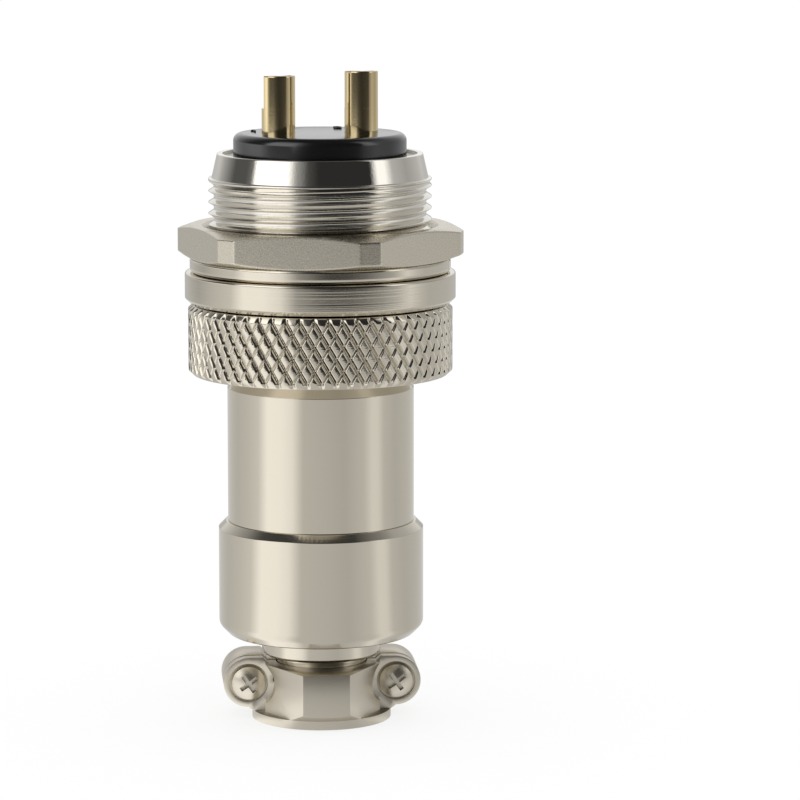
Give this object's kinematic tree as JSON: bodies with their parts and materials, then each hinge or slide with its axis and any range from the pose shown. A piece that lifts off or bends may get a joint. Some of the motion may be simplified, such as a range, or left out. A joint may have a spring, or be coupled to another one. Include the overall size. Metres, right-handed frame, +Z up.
{
  "type": "circular aviation plug connector",
  "caption": "Round cable plug with a knurled coupling nut, mated to a flanged panel receptacle with hex nut, solder cups and a screwed cable clamp.",
  "frame": {"origin": "centre of the cable clamp's foot, the face the connector stands on", "axes": "+Z up the connector's axis from the cable end to the solder cups; X along the line of the two pins, first pin at -X; key at +Y"},
  "size_m": [0.0254, 0.0252, 0.0586],
  "materials": {
    "nickel_plate": "polished nickel plate",
    "nickel_satin": "satin nickel plate",
    "gold_plate": "thin gold plate",
    "black_plastic": "gloss",
    "spring_steel": "bright"
  },
  "bodies": {
    "plug": {"plug_front_shell": "nickel_plate", "plug_insulator": "black_plastic", "snap_ring": "spring_steel", "contact_socket_1": "gold_plate", "contact_socket_2": "gold_plate", "plug_sleeve": "nickel_plate", "set_screw": "spring_steel", "tail_sleeve": "nickel_plate"},
    "coupling": {"coupling_nut": "nickel_plate"},
    "receptacle": {"receptacle_shell": "nickel_plate", "receptacle_insulator": "black_plastic", "retaining_ring": "spring_steel", "contact_pin_1": "gold_plate", "contact_pin_2": "gold_plate"},
    "washer": {"lock_washer": "nickel_plate"},
    "hex_nut": {"panel_nut": "nickel_satin"},
    "clamp_back": {"clamp_back_half": "nickel_satin"},
    "clamp_front": {"clamp_front_half": "nickel_satin"},
    "screw_left": {"clamp_screw_left": "nickel_plate"},
    "screw_right": {"clamp_screw_right": "nickel_plate"}
  },
  "joints": [
    {"name": "coupling_turn", "type": "hinge", "parent": "plug", "child": "coupling", "pos_m": [0, 0, 0.035], "axis": [0, 0, 1], "continuous": true},
    {"name": "receptacle_lift", "type": "slide", "parent": "plug", "child": "receptacle", "axis": [0, 0, 1], "range_m": [0, 0.012]},
    {"name": "washer_slide", "type": "slide", "parent": "receptacle", "child": "washer", "axis": [0, 0, 1], "range_m": [0, 0.004]},
    {"name": "panel_nut_turn", "type": "hinge", "parent": "washer", "child": "hex_nut", "pos_m": [0, 0, 0.0435], "axis": [0, 0, 1], "range_deg": [0, 1440]},
    {"name": "clamp_swivel", "type": "hinge", "parent": "plug", "child": "clamp_back", "pos_m": [0, 0, 0.003], "axis": [0, 0, 1], "continuous": true},
    {"name": "clamp_open", "type": "slide", "parent": "clamp_back", "child": "clamp_front", "axis": [0, -1, 0], "range_m": [0, 0.0012]},
    {"name": "screw_left_turn", "type": "hinge", "parent": "clamp_front", "child": "screw_left", "pos_m": [-0.0067, 0, 0.0034], "axis": [0, -1, 0], "range_deg": [0, 1080]},
    {"name": "screw_right_turn", "type": "hinge", "parent": "clamp_front", "child": "screw_right", "pos_m": [0.0067, 0, 0.0034], "axis": [0, -1, 0], "range_deg": [0, 1080]}
  ],
  "couplings": [
    {"joint": "washer_slide", "follows": "panel_nut_turn", "m_per_rad": 0.00015915},
    {"joint": "screw_left_turn", "follows": "clamp_open", "rad_per_m": 15708},
    {"joint": "screw_right_turn", "follows": "clamp_open", "rad_per_m": 15708}
  ]
}
